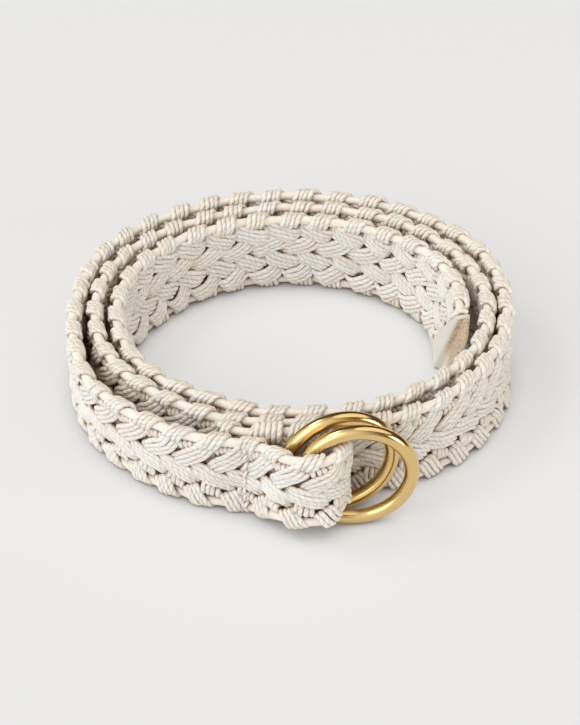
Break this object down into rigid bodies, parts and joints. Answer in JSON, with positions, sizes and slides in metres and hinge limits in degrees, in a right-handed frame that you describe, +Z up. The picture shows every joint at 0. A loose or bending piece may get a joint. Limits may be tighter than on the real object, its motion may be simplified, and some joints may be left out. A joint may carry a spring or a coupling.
{
  "type": "woven belt",
  "caption": "Flat plaited cotton cord belt, coiled and standing on its edge, with brass rings held in a sewn loop and a leather tip.",
  "frame": {"origin": "middle of the belt's footprint, on the surface that it stands on", "axes": "+Z up along the coil's axis, -Y towards the rings, +X to the right as seen from the rings' side"},
  "size_m": [0.1484, 0.1604, 0.0397],
  "materials": {
    "cotton_cord": "undyed plied cotton, matt",
    "ring_brass": "polished, softly worn",
    "tip_leather": "smooth pale grain outside, tan suede inside"
  },
  "bodies": {
    "root": {"woven_band": "cotton_cord", "ring_loop": "cotton_cord", "end_tab": "tip_leather", "ring_front": "ring_brass", "ring_back": "ring_brass"}
  },
  "joints": []
}
